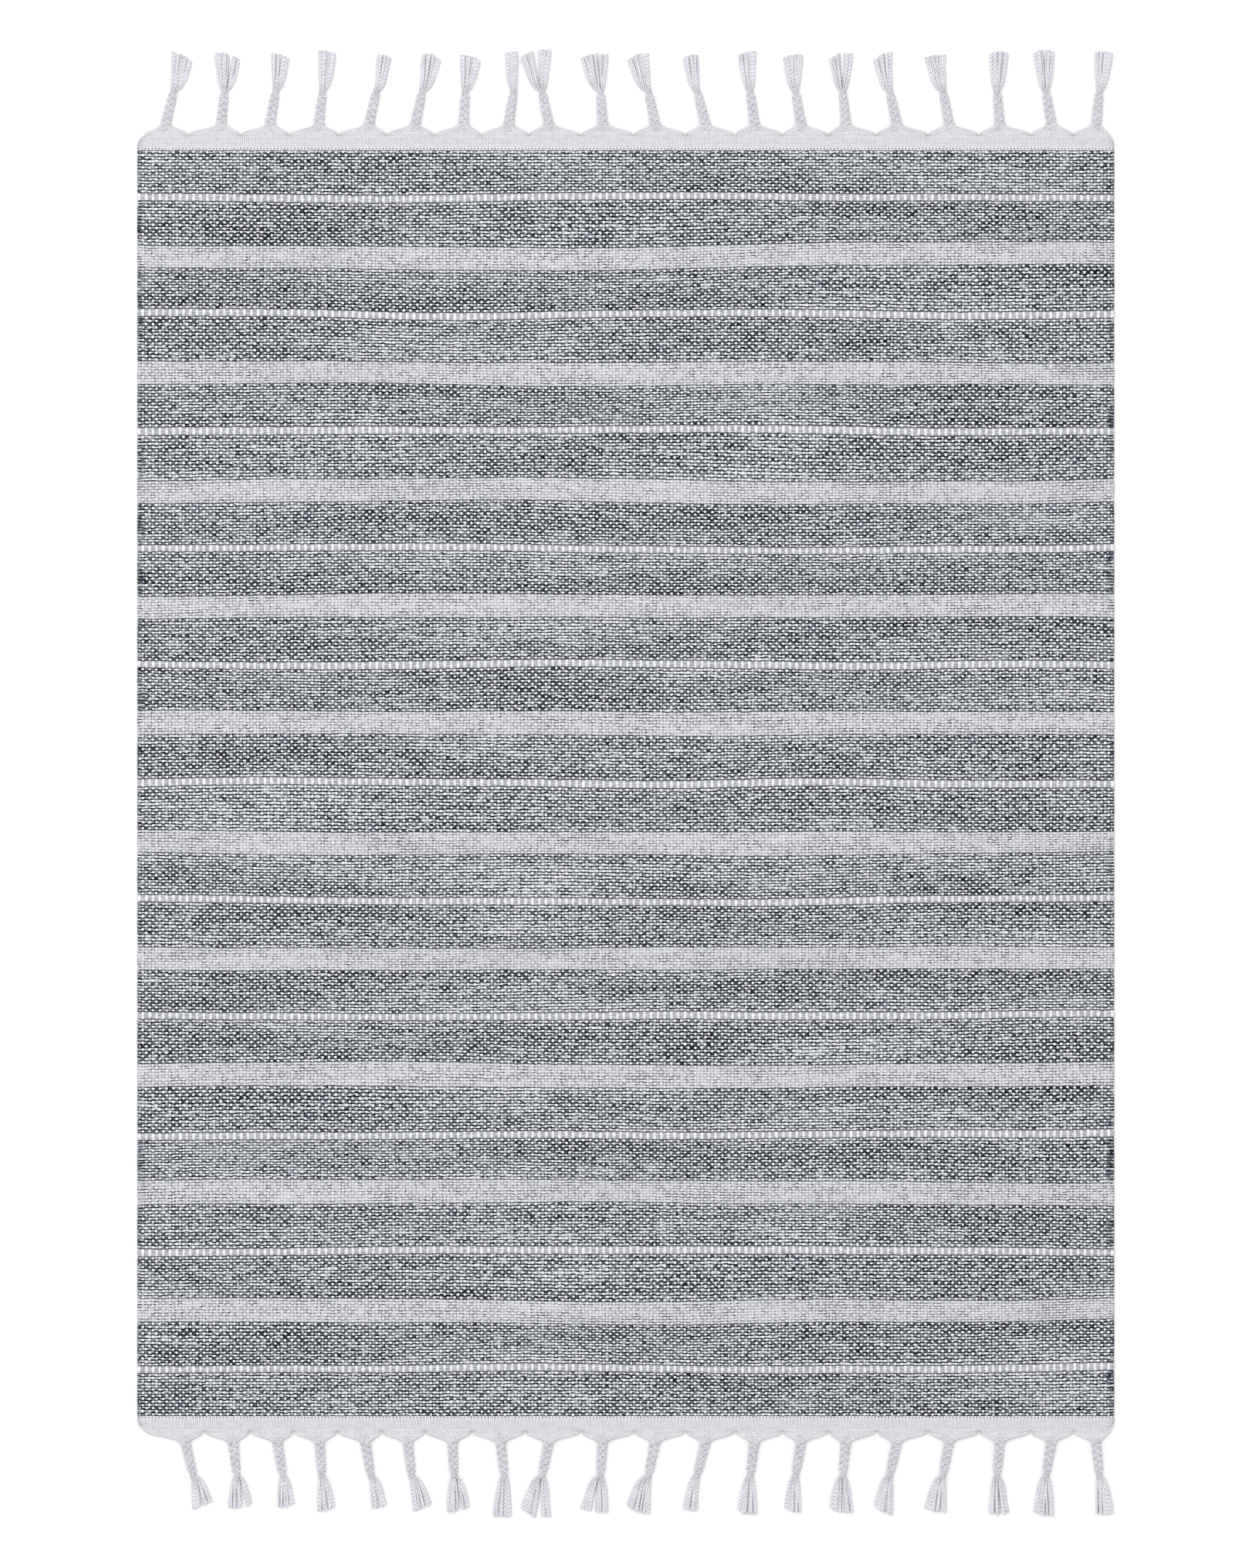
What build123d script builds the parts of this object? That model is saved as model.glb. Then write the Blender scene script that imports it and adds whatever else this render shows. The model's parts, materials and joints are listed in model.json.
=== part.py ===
"""Flat-woven cotton rug with heather bands, pale stripes and braided tassels (millimetres).

The rug lies on the floor: X runs along the weft, Y along the warp, and +Z is up.
The origin is the middle of the rug's footprint, on the floor.
"""
from build123d import *
from math import radians, tan
import os

os.makedirs("parts", exist_ok=True)

# ---------------------------------------------------------------- driving dimensions
rug_width = 610.0
selvedge_width = 4.5

# One repeat along the warp is heather, cord stripe, heather, pale stripe.
repeats = 11
heather_length = 27.0
cord_length = 4.8
pale_length = 14.4

heather_thickness = 3.0
cord_thickness = 3.4
pale_thickness = 2.8
selvedge_thickness = 3.0
selvedge_round = 1.2

heading_length = 9.2
heading_thickness = 2.4
heading_corner = 8.0

# The warp ends gather in a low arch at the root of each tassel.
gather_rise = 3.0
gather_bevel = 1.2
gather_split = 0.4
gather_pull = 3.0

# A tassel is a braid, a binding round its neck and a loose skirt.
root_clearance = 2.65
braid_length = 21.4
braid_root = (6.1, 4.5)
braid_end = (4.4, 4.0)
neck = (3.4, 3.2)
neck_length = 2.6
binding = (4.6, 4.2)
binding_length = 2.2
binding_gap = 0.05
skirt_top = (4.0, 3.6)
skirt_length = 24.5
skirt_thickness = 3.2
skirt_middle = 0.45
skirt_middle_spread = 0.72

# Each tassel, from the left: where it leaves the heading (mm from the middle), how far its
# braid and its skirt lean to the right (degrees), and how wide its tips spread (mm).
top_tassels = [
    (-288.0, 15, 10, 14.5),
    (-253.0, 6, 4, 17.5),
    (-222.5, 10, 5, 12.5),
    (-192.0, 7, 6, 12.5),
    (-161.0, 14, 10, 10.0),
    (-132.0, 13, 12, 13.5),
    (-101.5, 3, 6, 15.0),
    (-73.5, 9, -4, 9.0),
    (-48.0, -12, -7, 20.0),
    (-14.5, -4, -8, 18.0),
    (18.5, -12, -13, 14.5),
    (50.0, -15, -8, 10.5),
    (80.5, -8, -3, 12.5),
    (109.5, -10, -3, 12.0),
    (137.5, -6, -1, 16.5),
    (169.5, -13, -8, 12.5),
    (202.0, -11, -10, 14.5),
    (233.5, -5, 3, 13.5),
    (266.0, -10, -3, 14.0),
    (293.5, 6, 6, 12.0),
]
bottom_tassels = [
    (-275.5, 14, 11, 13.0),
    (-245.5, 7, 4, 16.0),
    (-218.0, 10, 4, 12.0),
    (-191.5, 4, 5, 11.5),
    (-163.0, 10, 10, 9.5),
    (-136.5, 7, 13, 13.0),
    (-108.5, 3, 5, 15.5),
    (-78.5, 7, -2, 12.0),
] + top_tassels[8:]

# ---------------------------------------------------------------- derived positions
inner_width = rug_width - 2 * selvedge_width
field_length = repeats * (2 * heather_length + cord_length + pale_length) - pale_length
field_edge = field_length / 2
heading_edge = field_edge + heading_length
hinge_y = heading_edge + gather_rise + root_clearance
hinge_z = heading_thickness
neck_y = hinge_y + braid_length
skirt_y = neck_y + neck_length
tip_y = skirt_y + skirt_length


def band_middles():
    """Where the middle of each heather band, cord stripe and pale stripe lies along the warp."""
    heather, cord, pale = [], [], []
    start = -field_edge
    for repeat in range(repeats):
        run = [(heather, heather_length), (cord, cord_length), (heather, heather_length)]
        if repeat < repeats - 1:
            run.append((pale, pale_length))
        for middles, length in run:
            middles.append(start + length / 2)
            start += length
    return heather, cord, pale


def scallops(tassels):
    """The left and right foot of each gathered arch along one end of the rug."""
    pulled = []
    for root_x, lean, _, _ in tassels:
        side = 1 if lean > 0 else -1
        pulled.append(root_x - side * gather_pull)
    feet = [-rug_width / 2 + heading_corner]
    for left, right in zip(pulled, pulled[1:]):
        feet.append((left + right) / 2)
    feet.append(rug_width / 2 - heading_corner)
    return list(zip(feet, feet[1:]))


def across(x, y, z):
    """A plane for one section of a tassel, facing out along the warp from the rug's middle."""
    outward = 1 if y > 0 else -1
    return Plane(origin=(x, y, z), x_dir=(1, 0, 0), z_dir=(0, outward, 0))


def oval(size):
    """An ellipse of the given width and height."""
    return Ellipse(size[0] / 2, size[1] / 2)


# ---------------------------------------------------------------- woven field
heather_middles, cord_middles, pale_middles = band_middles()

with BuildPart() as heather_bands:
    with BuildSketch(Plane.XY):
        with Locations([(0, y) for y in heather_middles]):
            Rectangle(inner_width, heather_length)
    extrude(amount=heather_thickness)
heather_bands.part.label = "heather_bands"
export_step(heather_bands.part, "parts/heather_bands.step")

with BuildPart() as cord_stripes:
    with BuildSketch(Plane.XY):
        with Locations([(0, y) for y in cord_middles]):
            Rectangle(inner_width, cord_length)
    extrude(amount=cord_thickness)
cord_stripes.part.label = "cord_stripes"
export_step(cord_stripes.part, "parts/cord_stripes.step")

for number, middle in enumerate(pale_middles, start=1):
    with BuildPart() as pale_stripe:
        with BuildSketch(Plane.XY):
            with Locations((0, middle)):
                Rectangle(inner_width, pale_length)
        extrude(amount=pale_thickness)
    pale_stripe.part.label = f"pale_stripe_{number:02d}"
    export_step(pale_stripe.part, f"parts/{pale_stripe.part.label}.step")

# ---------------------------------------------------------------- selvedges
# The weft turns back round the outermost warp ends, so each outer edge is rounded.
for side, place in (("left", -1), ("right", 1)):
    with BuildPart() as selvedge:
        with BuildSketch(Plane.XY):
            with Locations((place * (rug_width - selvedge_width) / 2, 0)):
                Rectangle(selvedge_width, field_length)
        extrude(amount=selvedge_thickness)
        outer_face = selvedge.faces().sort_by(Axis.X)[0 if place < 0 else -1]
        fillet(outer_face.edges().filter_by(Axis.Y), radius=selvedge_round)
    selvedge.part.label = f"{side}_selvedge"
    export_step(selvedge.part, f"parts/{selvedge.part.label}.step")

# ---------------------------------------------------------------- the two ends
for end, outward, tassels in (("top", 1, top_tassels), ("bottom", -1, bottom_tassels)):
    with BuildPart() as heading:
        with BuildSketch(Plane.XY) as heading_outline:
            with Locations((0, outward * (field_edge + heading_length / 2))):
                Rectangle(rug_width, heading_length)
            outer_corners = heading_outline.vertices().group_by(Axis.Y)[0 if outward < 0 else -1]
            fillet(outer_corners, radius=heading_corner)
        extrude(amount=heading_thickness)
    heading.part.label = f"{end}_heading"
    export_step(heading.part, f"parts/{heading.part.label}.step")

    with BuildPart() as gathers:
        with BuildSketch(Plane.XY):
            for left, right in scallops(tassels):
                foot = outward * heading_edge
                start = (left + gather_split / 2, foot)
                crest = ((left + right) / 2, foot + outward * gather_rise)
                finish = (right - gather_split / 2, foot)
                with BuildLine():
                    ThreePointArc(start, crest, finish)
                    Line(finish, start)
                make_face()
        extrude(amount=heading_thickness)
        upper_edges = gathers.faces().group_by(Axis.Z)[-1].edges()
        chamfer(upper_edges.filter_by(GeomType.CIRCLE), length=gather_bevel)
    gathers.part.label = f"{end}_gathers"
    export_step(gathers.part, f"parts/{gathers.part.label}.step")

    for number, (root_x, braid_lean, skirt_lean, skirt_width) in enumerate(tassels, start=1):
        neck_x = root_x + braid_length * tan(radians(braid_lean))
        tip_x = neck_x + (neck_length + skirt_length) * tan(radians(skirt_lean))
        middle_x = neck_x + (tip_x - neck_x) * skirt_middle
        middle_y = skirt_y + skirt_length * skirt_middle
        neck_z = binding[1] / 2
        tip_z = skirt_thickness / 2
        hinge = (root_x, outward * hinge_y, hinge_z)

        with BuildPart() as tassel:
            # The root is half a spheroid about the swing axis, so it turns clear of the gather.
            with BuildSketch(across(*hinge)):
                oval(braid_root)
                split(bisect_by=Plane.XZ)
            revolve(axis=Axis(hinge, (1, 0, 0)), revolution_arc=180)
            with BuildSketch(across(*hinge)):
                oval(braid_root)
            with BuildSketch(across(neck_x, outward * neck_y, neck_z)):
                oval(braid_end)
            loft()
            with BuildSketch(across(neck_x, outward * neck_y, neck_z)):
                oval(neck)
            with BuildSketch(across(neck_x, outward * skirt_y, neck_z)):
                oval(neck)
            loft()
            with BuildSketch(across(neck_x, outward * skirt_y, neck_z)):
                oval(skirt_top)
            with BuildSketch(across(middle_x, outward * middle_y, (neck_z + tip_z) / 2)):
                oval((skirt_width * skirt_middle_spread, skirt_thickness))
            with BuildSketch(across(tip_x, outward * tip_y, tip_z)):
                oval((skirt_width, skirt_thickness))
            loft()
            # The binding is a separate ring round the neck.
            ring_y = outward * (neck_y + neck_length / 2)
            with BuildSketch(across(neck_x, ring_y, neck_z)):
                oval(binding)
                Ellipse(neck[0] / 2 + binding_gap, neck[1] / 2 + binding_gap, mode=Mode.SUBTRACT)
            extrude(amount=binding_length / 2, both=True)
        tassel.part.label = f"tassel_{end}_{number:02d}"
        export_step(tassel.part, f"parts/{tassel.part.label}.step")
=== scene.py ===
"""A flat-woven cotton rug with braided tassels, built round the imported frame."""
import json
import math

import bpy
import numpy as np
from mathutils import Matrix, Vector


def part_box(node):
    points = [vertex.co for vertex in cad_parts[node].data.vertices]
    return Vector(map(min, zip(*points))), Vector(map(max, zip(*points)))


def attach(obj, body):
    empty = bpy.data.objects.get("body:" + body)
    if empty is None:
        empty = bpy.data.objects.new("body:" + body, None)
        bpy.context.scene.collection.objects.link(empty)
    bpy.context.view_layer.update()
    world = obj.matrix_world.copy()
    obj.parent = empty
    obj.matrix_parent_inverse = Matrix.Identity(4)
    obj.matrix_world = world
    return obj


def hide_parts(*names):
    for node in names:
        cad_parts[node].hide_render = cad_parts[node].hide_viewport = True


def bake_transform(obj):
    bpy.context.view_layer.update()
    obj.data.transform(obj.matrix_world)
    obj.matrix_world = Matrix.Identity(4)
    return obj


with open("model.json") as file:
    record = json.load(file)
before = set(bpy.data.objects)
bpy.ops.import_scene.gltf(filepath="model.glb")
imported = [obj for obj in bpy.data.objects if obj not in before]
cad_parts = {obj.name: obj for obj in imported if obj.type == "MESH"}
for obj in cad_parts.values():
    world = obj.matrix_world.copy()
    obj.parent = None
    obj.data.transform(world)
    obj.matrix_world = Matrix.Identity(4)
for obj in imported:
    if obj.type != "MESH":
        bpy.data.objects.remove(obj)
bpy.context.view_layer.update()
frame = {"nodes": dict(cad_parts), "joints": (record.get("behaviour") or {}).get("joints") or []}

bl_info = {
    "name": "Flat-woven rug",
    "version": (1, 0, 0),
    "blender": (4, 5, 0),
    "location": "3D View > Sidebar > Rug",
    "description": "Weaves a striped cotton rug and its braided fringe",
    "category": "Object",
}

MM = 0.001
RUG = "rug"

# The loom's plan, in metres, read from the frame.
HALF_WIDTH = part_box("right_selvedge")[1][0]
SELVEDGE = HALF_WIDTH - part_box("right_selvedge")[0][0]
FIELD_HALF_WIDTH = HALF_WIDTH - SELVEDGE
FIELD_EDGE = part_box("right_selvedge")[1][1]
HEADING_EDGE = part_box("top_heading")[1][1]
HINGE_EDGE = abs(next(j["pos_m"][1] for j in frame["joints"]))

# What repeats along the warp: the kind of band, its length and its picks.
REPEATS = 11
HEATHER = ("heather", 27.0 * MM, 14)
CORD = ("cord", 4.8 * MM, 1)
PALE = ("pale", 14.4 * MM, 8)
INNER_ENDS = 284
SELVEDGE_ENDS = 2
CORD_ROWS = 6
THREAD_ROWS = 2

# The white heading at each end, and the arches of cloth that swell out past it to the tassels.
HEADING_ENDS = 520
HEADING_PICKS = 9
HEADING_CORNER = 8.0 * MM
ARCH_PICKS = 4
ARCH_FALL = 0.5
ARCH_RISE = 3.9 * MM
# An arch laps over the heading and lies a hair above it, so that no two faces share a plane.
ARCH_LAP = 0.8 * MM
ARCH_LIFT = 0.06 * MM
# The outline of an arch: how flat it is on top, how steep at its feet, and its least height.
ARCH_FLATNESS = 2.3
ARCH_STEEPNESS = 0.65
ARCH_LEAST = 0.12

# The fringe, the same at both ends.
ENDS = ("top", "bottom")
TASSELS_PER_END = 20
FRINGE_SEED = 7
YARN_SIDES = 6


# ---------------------------------------------------------------- node graphs
class Term:
    """A socket in a node graph, which arithmetic extends with Math nodes."""

    def __init__(self, graph, socket):
        self.graph = graph
        self.socket = socket

    def math(self, operation, *others):
        return self.graph.math(operation, self, *others)

    def __add__(self, other):
        return self.math("ADD", other)

    def __radd__(self, other):
        return self.math("ADD", other)

    def __sub__(self, other):
        return self.math("SUBTRACT", other)

    def __rsub__(self, other):
        return self.graph.math("SUBTRACT", other, self)

    def __mul__(self, other):
        return self.math("MULTIPLY", other)

    def __truediv__(self, other):
        return self.math("DIVIDE", other)

    def __pow__(self, other):
        return self.math("POWER", other)

    def __mod__(self, other):
        return self.math("FLOORED_MODULO", other)

    def __neg__(self):
        return self.math("MULTIPLY", -1.0)

    def __abs__(self):
        return self.math("ABSOLUTE")


class Graph:
    """A shader or geometry tree that is written as expressions."""

    def __init__(self, tree):
        self.tree = tree

    def node(self, kind, settings=None, inputs=None, output=0):
        """One node: its settings first, then its sockets. Returns the wanted output."""
        made = self.tree.nodes.new(kind)
        for name, value in (settings or {}).items():
            setattr(made, name, value)
        for name, value in (inputs or {}).items():
            self.feed(made.inputs[name], value)
        if output is None:
            return made
        return Term(self, made.outputs[output])

    def feed(self, socket, value):
        """Links a term to a socket, or sets the socket's own value."""
        if isinstance(value, Term):
            self.tree.links.new(value.socket, socket)
        else:
            socket.default_value = value

    def math(self, operation, *terms):
        settings = {"operation": operation}
        return self.node("ShaderNodeMath", settings, dict(enumerate(terms)))

    def vector(self, x=0.0, y=0.0, z=0.0):
        return self.node("ShaderNodeCombineXYZ", None, {"X": x, "Y": y, "Z": z})

    def parts(self, vector):
        made = self.node("ShaderNodeSeparateXYZ", None, {"Vector": vector}, output=None)
        return [Term(self, made.outputs[axis]) for axis in "XYZ"]

    def step(self, value, low, high):
        """0 below low and 1 above high, with a smooth rise between them."""
        settings = {"interpolation_type": "SMOOTHSTEP"}
        inputs = {"Value": value, "From Min": low, "From Max": high}
        return self.node("ShaderNodeMapRange", settings, inputs)

    def clamp(self, value):
        """A number held between 0 and 1."""
        return self.node("ShaderNodeClamp", None, {"Value": value})

    def noise(self, x, y, z):
        """Smooth noise from 0 to 1 at a point. Different z values give unlike patterns."""
        inputs = {"Vector": self.vector(x, y, z), "Scale": 1.0, "Detail": 1.0}
        return self.node("ShaderNodeTexNoise", {"noise_dimensions": "3D"}, inputs)

    def mix(self, factor, first, second):
        """A number between two numbers."""
        return first + (second - first) * factor

    def blend(self, factor, first, second):
        """A colour between two colours, by a Mix node's sockets for colour."""
        made = self.node("ShaderNodeMix", {"data_type": "RGBA"}, output=None)
        self.feed(made.inputs[0], factor)
        self.feed(made.inputs[6], first)
        self.feed(made.inputs[7], second)
        return Term(self, made.outputs[2])

    def ramp(self, factor, stops):
        """A colour ramp with (place, colour) stops."""
        made = self.node("ShaderNodeValToRGB", None, {"Fac": factor}, output=None)
        elements = made.color_ramp.elements
        while len(elements) < len(stops):
            elements.new(0.5)
        for element, (place, colour) in zip(elements, stops):
            element.position = place
            element.color = colour
        return Term(self, made.outputs["Color"])


def shade(red, green, blue):
    """A linear colour from eight-bit screen values."""
    values = (red, green, blue)
    linear = [((v / 255 + 0.055) / 1.055) ** 2.4 if v > 10 else v / 3294.6 for v in values]
    return (*linear, 1.0)


# ---------------------------------------------------------------- settings
def length_setting(name, description, default):
    return bpy.props.FloatProperty(
        name=name, description=description, default=default, unit="LENGTH")


def colour_setting(name, description, default):
    return bpy.props.FloatVectorProperty(
        name=name, description=description, default=default,
        subtype="COLOR", size=4, min=0, max=1)


class RugClothSettings(bpy.types.PropertyGroup):
    """Sizes of the weave."""

    cloth_valley: length_setting(
        "Cloth between threads", "Height of the cloth in the gaps between threads", 1.7 * MM)
    thread_relief: length_setting(
        "Thread relief", "How far the threads stand up from the gaps", 1.3 * MM)
    cord_relief: length_setting(
        "Cord relief", "How far the thick cord picks stand up", 1.7 * MM)
    heading_valley: length_setting(
        "Heading between threads", "Height of the heading in its gaps", 1.7 * MM)
    heading_relief: length_setting(
        "Heading relief", "How far the heading's fine threads stand up", 0.6 * MM)
    wander: length_setting(
        "Weft wander", "How far the stripes bow and sag across the width", 4.5 * MM)
    jitter: length_setting(
        "Thread jitter", "How unevenly single threads lie", 0.9 * MM)


class RugColourSettings(bpy.types.PropertyGroup):
    """Colours of the yarns."""

    warp: colour_setting(
        "Warp", "White cotton of the warp ends", shade(250, 250, 252))
    weft_darkest: colour_setting(
        "Heather, darkest", "Near-black navy flecks of the heathered weft", shade(7, 10, 17))
    weft_slate: colour_setting(
        "Heather, slate", "Slate of the heathered weft", shade(68, 78, 93))
    weft_grey: colour_setting(
        "Heather, grey", "Mid grey of the heathered weft", shade(142, 151, 164))
    weft_light: colour_setting(
        "Heather, light", "Lightest streaks of the heathered weft", shade(224, 227, 232))
    pale: colour_setting(
        "Pale weft", "Pale weft of the stripes", shade(226, 226, 233))
    pale_shadow: colour_setting(
        "Pale weft, shaded", "Lilac-grey between the pale threads", shade(150, 150, 162))
    fringe: colour_setting(
        "Fringe", "Natural cotton of the fringe", shade(240, 240, 246))


class RugFringeSettings(bpy.types.PropertyGroup):
    """Sizes of the tassels."""

    braid_pitch: length_setting(
        "Braid pitch", "Length of one full round of the three-strand braid", 12.6 * MM)
    braid_yarn: length_setting(
        "Braided yarn radius", "Radius of a yarn inside the braid", 0.52 * MM)
    skirt_yarn: length_setting(
        "Loose yarn radius", "Radius of a yarn in the loose skirt", 0.80 * MM)
    gather_yarn: length_setting(
        "Gathered ply radius", "Radius of a ply where the warp gathers", 0.42 * MM)
    ply_pitch: length_setting(
        "Ply pitch", "Length of one turn of the yarn's two plies", 2.4 * MM)


# ---------------------------------------------------------------- the weave as geometry
WEAVE_SIZES = [
    ("West", "NodeSocketFloat"),
    ("East", "NodeSocketFloat"),
    ("South", "NodeSocketFloat"),
    ("North", "NodeSocketFloat"),
    ("Ends", "NodeSocketInt"),
    ("Picks", "NodeSocketInt"),
    ("Rows per pick", "NodeSocketInt"),
    ("First end", "NodeSocketFloat"),
    ("First pick", "NodeSocketFloat"),
    ("Valley", "NodeSocketFloat"),
    ("Relief", "NodeSocketFloat"),
    ("Outward", "NodeSocketFloat"),
    ("Fall", "NodeSocketFloat"),
    ("Wander", "NodeSocketFloat"),
    ("Jitter", "NodeSocketFloat"),
    ("Arch", "NodeSocketFloat"),
    ("Peak", "NodeSocketFloat"),
    ("Material", "NodeSocketMaterial"),
]
UNDER_ROWS = 3


def new_tree(name, inputs):
    """A geometry tree with named inputs and one geometry output. Returns its graph and inputs."""
    tree = bpy.data.node_groups.new(name, "GeometryNodeTree")
    tree.interface.new_socket("Geometry", in_out="OUTPUT", socket_type="NodeSocketGeometry")
    for label, kind in inputs:
        tree.interface.new_socket(label, in_out="INPUT", socket_type=kind)
    graph = Graph(tree)
    entry = tree.nodes.new("NodeGroupInput")
    return graph, {label: Term(graph, entry.outputs[label]) for label, _ in inputs}


def finish_tree(graph, geometry, material):
    """Ends a tree in Realize Instances and Set Material."""
    real = graph.node("GeometryNodeRealizeInstances", None, {"Geometry": geometry})
    done = graph.node("GeometryNodeSetMaterial", None, {"Geometry": real, "Material": material})
    leave = graph.tree.nodes.new("NodeGroupOutput")
    graph.feed(leave.inputs["Geometry"], done)
    return graph.tree


def capture(graph, geometry, **fields):
    """Keeps each field on the points of a geometry. Returns the geometry and the kept fields."""
    kept = []
    for value in fields.values():
        made = graph.tree.nodes.new("GeometryNodeCaptureAttribute")
        made.domain = "POINT"
        made.capture_items.new("FLOAT", "Value")
        graph.feed(made.inputs["Geometry"], geometry)
        graph.feed(made.inputs["Value"], value)
        geometry = Term(graph, made.outputs["Geometry"])
        kept.append(Term(graph, made.outputs["Value"]))
    return geometry, kept


def store(graph, geometry, name, vector):
    """Stores a named vector on the points of a geometry, for the materials to read."""
    settings = {"data_type": "FLOAT_VECTOR", "domain": "POINT"}
    inputs = {"Geometry": geometry, "Name": name, "Value": vector}
    return graph.node("GeometryNodeStoreNamedAttribute", settings, inputs)


def weave_tree():
    """A closed slab of plain weave: threads stand up on top, and the underside is plain."""
    g, size = new_tree("plain_weave", WEAVE_SIZES)
    index = g.node("GeometryNodeInputIndex")
    columns = size["Ends"] * 2.0
    top_rows = size["Picks"] * size["Rows per pick"]

    span = {"Start": g.vector(size["West"]), "End": g.vector(size["East"])}
    line = g.node("GeometryNodeCurvePrimitiveLine", None, span)
    across = g.node("GeometryNodeResampleCurve", None, {"Curve": line, "Count": columns + 1.0})
    across, (column,) = capture(g, across, column=index)
    rows = top_rows + (UNDER_ROWS + 2.0)
    ring = g.node("GeometryNodeCurvePrimitiveCircle", None, {"Resolution": rows})
    ring, (row,) = capture(g, ring, row=index)
    slab = g.node("GeometryNodeCurveToMesh", None, {
        "Curve": across, "Profile Curve": ring, "Fill Caps": True})

    under = g.math("GREATER_THAN", row, top_rows + 0.5)
    back = (row - top_rows - 1.0) / UNDER_ROWS
    u = column / 2.0
    v = g.mix(under, row / size["Rows per pick"], size["Picks"] * (1.0 - back))
    x = size["West"] + (size["East"] - size["West"]) * column / columns
    y = size["South"] + (size["North"] - size["South"]) * v / size["Picks"]

    # An arch swells outward from nothing at its two feet to its full height at the peak.
    right = g.math("GREATER_THAN", x, size["Peak"])
    half = g.mix(right, size["Peak"] - size["West"], size["East"] - size["Peak"])
    away = g.math("MINIMUM", abs(x - size["Peak"]) / half, 1.0)
    swell = (1.0 - away ** ARCH_FLATNESS) ** ARCH_STEEPNESS
    swell = g.math("MAXIMUM", swell, ARCH_LEAST)
    base = g.mix(g.math("GREATER_THAN", y, 0.0), size["North"], size["South"])
    y = base + (y - base) * g.mix(size["Arch"], 1.0, swell)

    end_crest = abs(g.math("SINE", u * math.pi))
    pick_crest = abs(g.math("SINE", v * math.pi))
    thread = pick_crest * 0.35 + end_crest * 0.25 + pick_crest * end_crest * 0.4
    uneven = g.noise(x / (5 * MM), y / (5 * MM), 3.7) - 0.5
    height = size["Valley"] + size["Relief"] * (thread + uneven * 0.25)

    # The outer edge rounds over, and each pick loops out round the last end.
    eastward = g.math("GREATER_THAN", size["Outward"], 0.0)
    inner = g.mix(eastward, 1.0 - column / columns, column / columns)
    edge = abs(size["Outward"]) * inner ** 3.0
    ending = g.clamp(v - size["Picks"] + 2.0) / 2.0 * size["Fall"]
    starting = g.clamp(2.0 - v) / 2.0 * -g.math("MINIMUM", size["Fall"], 0.0)
    ending = g.math("MAXIMUM", ending, 0.0) + starting
    height = height * (1.0 - edge * 0.35) * (1.0 - ending * 0.45)
    z = g.mix(under, height, edge * 0.5 * MM + size["Arch"] * ARCH_LIFT)

    bow = g.noise(x / (230 * MM), y / (60 * MM), 11.3) - 0.5
    inside = g.clamp((HEADING_EDGE - abs(y)) / (HEADING_EDGE - FIELD_EDGE))
    steady = g.step(FIELD_EDGE + 4 * MM - abs(y), 0.0, 45 * MM)
    corner = g.clamp((abs(x) - HALF_WIDTH + HEADING_CORNER) / HEADING_CORNER)
    beyond = g.math("MAXIMUM", abs(y) - FIELD_EDGE, 0.0) * g.math("SIGN", y)
    sway = g.noise(x / (4 * MM), y / (6 * MM), 23.1) - 0.5
    slip = g.noise(x / (6 * MM), y / (4 * MM), 31.9) - 0.5
    loop = size["Outward"] * edge * (pick_crest - 0.6) * 0.5 * MM
    new_x = x + size["Jitter"] * sway * inside * (1.0 - abs(size["Outward"]) * inner) + loop
    new_y = y + size["Wander"] * bow * 2.0 * steady + size["Jitter"] * slip * inside
    new_y = new_y - beyond * corner * corner * 0.6
    position = g.vector(new_x, new_y, z)
    moved = g.node("GeometryNodeSetPosition", None, {"Geometry": slab, "Position": position})

    place = g.vector(u + size["First end"], v + size["First pick"], under)
    stored = store(g, moved, "weave", place)
    flipped = g.node("GeometryNodeFlipFaces", None, {"Mesh": stored})
    upper = g.math("LESS_THAN", under, 0.01)
    smooth = g.node("GeometryNodeSetShadeSmooth", None, {"Geometry": flipped, "Selection": upper})
    return finish_tree(g, smooth, size["Material"])


YARN_SIZES = [
    ("Geometry", "NodeSocketGeometry"),
    ("Sides", "NodeSocketInt"),
    ("Material", "NodeSocketMaterial"),
]


def yarn_tree():
    """Round yarns along curves. Each point keeps its angle and its length along the yarn."""
    g, size = new_tree("plied_yarn", YARN_SIZES)
    length = g.node("GeometryNodeSplineParameter", output="Length")
    lines, (along,) = capture(g, size["Geometry"], along=length)
    circle = {"Resolution": size["Sides"], "Radius": 1.0}
    ring = g.node("GeometryNodeCurvePrimitiveCircle", None, circle)
    angle = g.node("GeometryNodeInputIndex") * (2 * math.pi) / size["Sides"]
    cosine, sine = g.math("COSINE", angle), g.math("SINE", angle)
    ring, (cosine, sine) = capture(g, ring, cosine=cosine, sine=sine)
    radius = g.node("GeometryNodeInputRadius")
    tube = {"Curve": lines, "Profile Curve": ring, "Scale": radius, "Fill Caps": True}
    tubes = g.node("GeometryNodeCurveToMesh", None, tube)
    stored = store(g, tubes, "yarn", g.vector(cosine, sine, along))
    smooth = g.node("GeometryNodeSetShadeSmooth", None, {"Geometry": stored})
    return finish_tree(g, smooth, size["Material"])


def tree_of(name, maker):
    """The named tree, made the first time that it is wanted."""
    return bpy.data.node_groups.get(name) or maker()


def grow(name, data, tree, **values):
    """Runs a tree on new object data and returns the result as a plain mesh."""
    host = bpy.data.objects.new(name + "_host", data)
    bpy.context.collection.objects.link(host)
    modifier = host.modifiers.new("grow", "NODES")
    modifier.node_group = tree
    items = tree.interface.items_tree
    sockets = {item.name: item.identifier for item in items if item.in_out == "INPUT"}
    for label, value in values.items():
        modifier[sockets[label.replace("_", " ")]] = value
    evaluated = host.evaluated_get(bpy.context.evaluated_depsgraph_get())
    mesh = bpy.data.meshes.new_from_object(evaluated)
    bpy.data.objects.remove(host)
    mesh.name = name
    return mesh


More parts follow.
